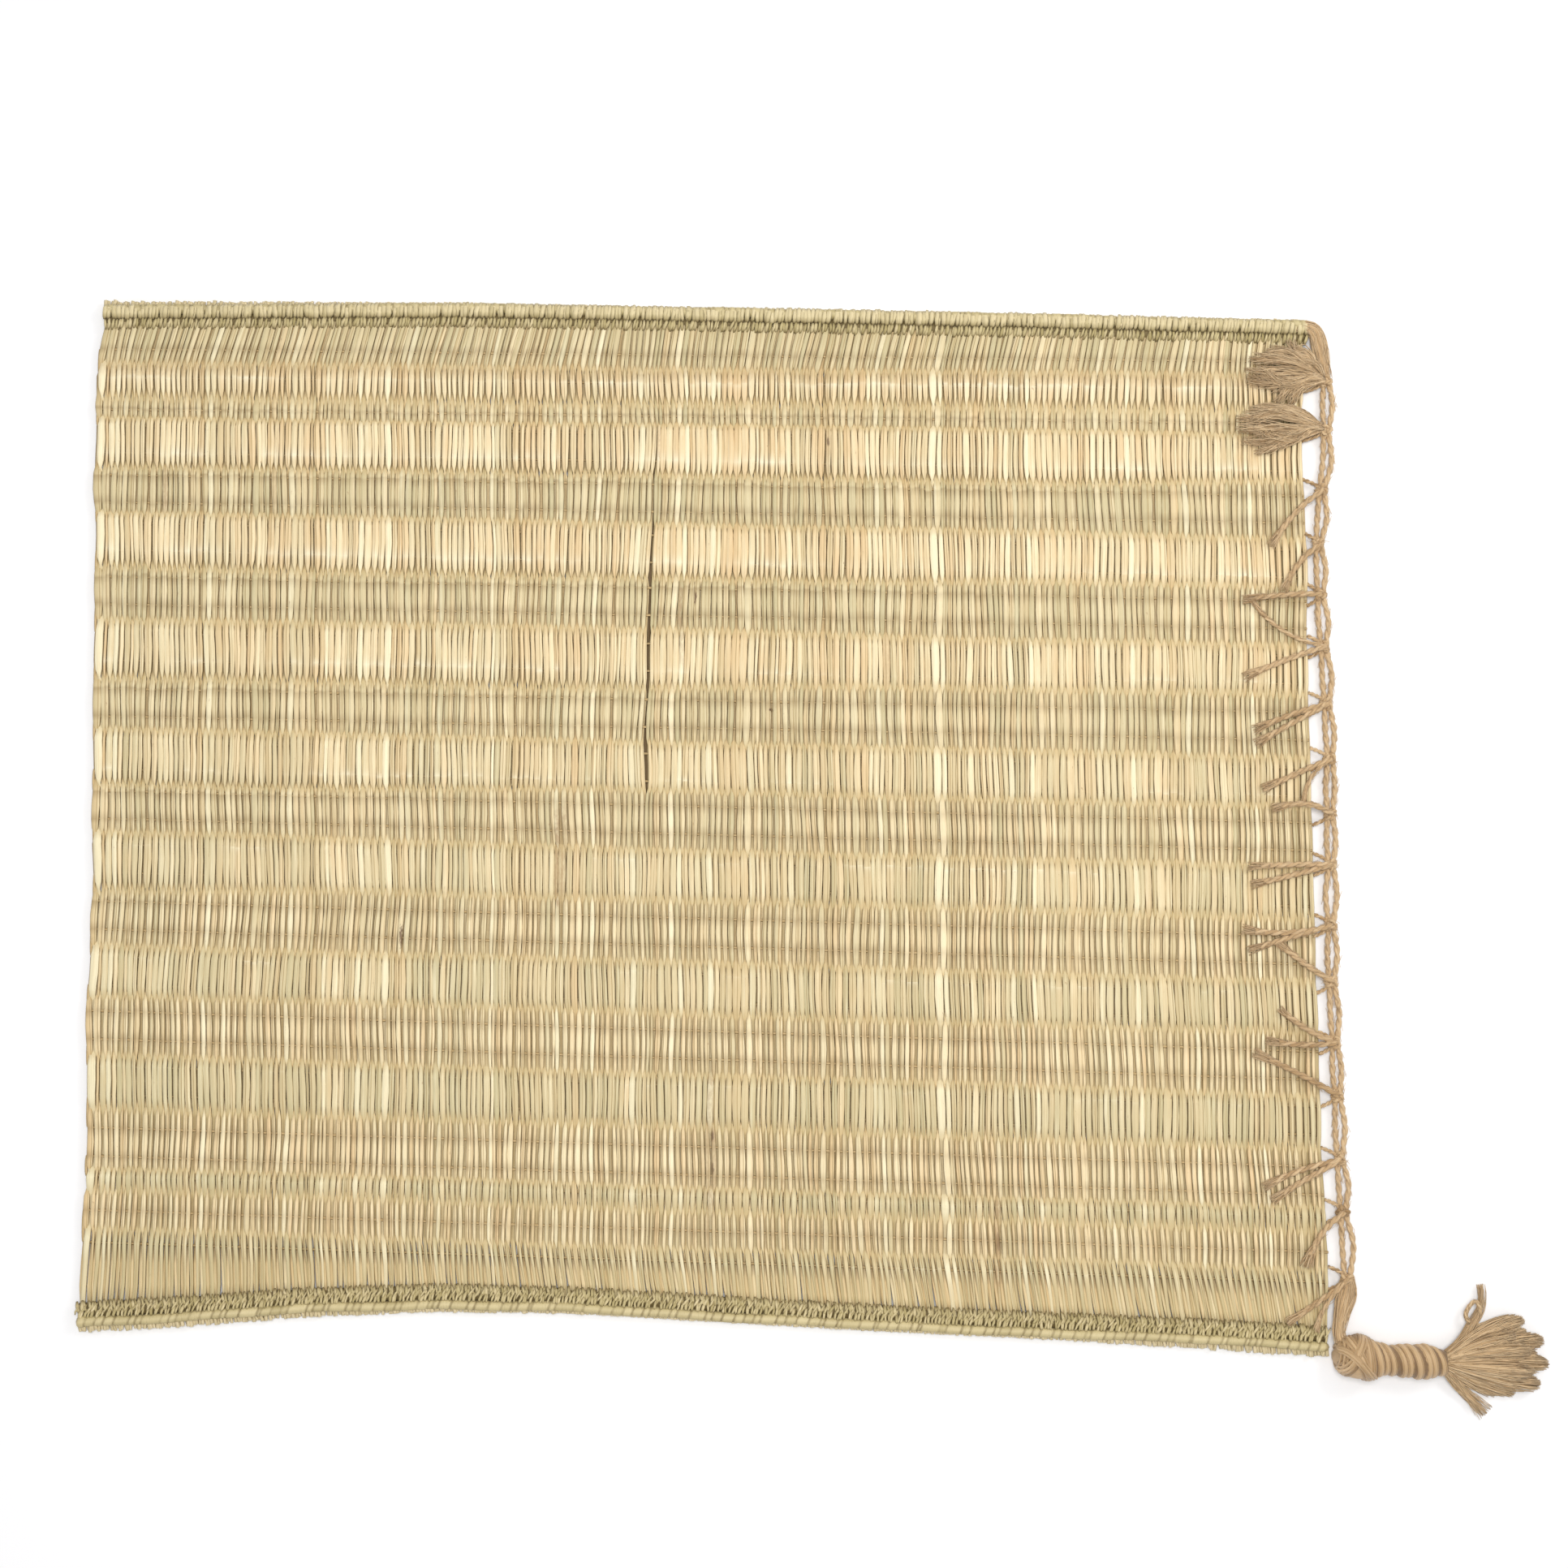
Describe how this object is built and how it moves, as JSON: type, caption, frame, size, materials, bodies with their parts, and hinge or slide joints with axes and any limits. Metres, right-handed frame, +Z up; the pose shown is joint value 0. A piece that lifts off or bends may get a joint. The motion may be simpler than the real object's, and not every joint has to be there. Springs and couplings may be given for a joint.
{
  "type": "kusha grass mat",
  "caption": "Flat hand-woven mat of dried grass stems on hidden twine, with plaited ends, a knotted jute edge cord, frayed tails and a wrapped corner knot with a brush.",
  "frame": {"origin": "middle of the footprint, on the floor that the mat lies on", "axes": "+X along the twine towards the knotted edge cord, +Y along the stems away from the corner knot, +Z up out of the woven face"},
  "size_m": [0.7128, 0.5486, 0.0198],
  "materials": {
    "grass": "dried grass stems, cream at the root and olive green towards the tip, with a dull straw sheen",
    "selvedge": "rolled and plaited olive-green grass ends",
    "jute": "two-ply twisted jute twine, matt and a little hairy",
    "jute_brush": "loose combed jute fibre, matt"
  },
  "bodies": {
    "root": {"grass_field": "grass", "selvedge_top": "selvedge", "selvedge_bottom": "selvedge", "edge_cord": "jute", "tassel_upper": "jute", "tassel_lower": "jute", "corner_knot": "jute", "corner_brush": "jute_brush"}
  },
  "joints": []
}
